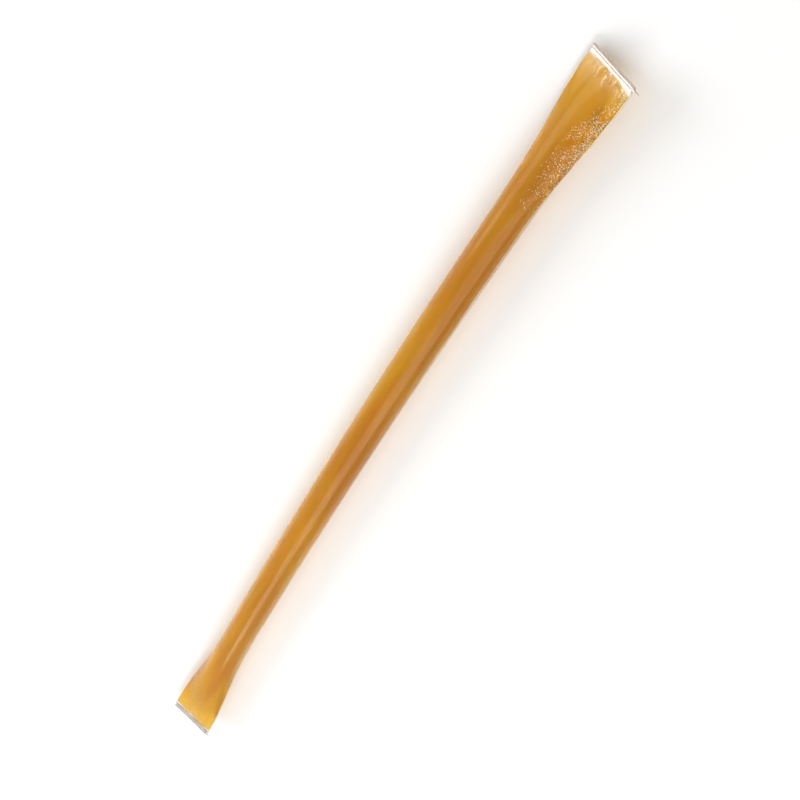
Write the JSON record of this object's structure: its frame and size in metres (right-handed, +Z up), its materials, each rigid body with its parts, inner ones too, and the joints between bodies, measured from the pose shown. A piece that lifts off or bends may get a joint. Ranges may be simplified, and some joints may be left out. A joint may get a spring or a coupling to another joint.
{
  "type": "honey stick",
  "caption": "Clear drinking-straw tube filled with amber honey, pressed flat and heat-sealed at both ends.",
  "frame": {"origin": "the middle of the underside of the stick's bounding box, on the surface it lies on", "axes": "+X along the stick, towards the end that stands up out of a jar and carries the longer thread; +Z up; +Y to the side that the stick's slight bow stands out to"},
  "size_m": [0.18, 0.0098, 0.0058],
  "materials": {
    "honey_in_clear_tube": "clear satin film over amber honey"
  },
  "bodies": {
    "root": {"honey_stick": "honey_in_clear_tube"}
  },
  "joints": []
}
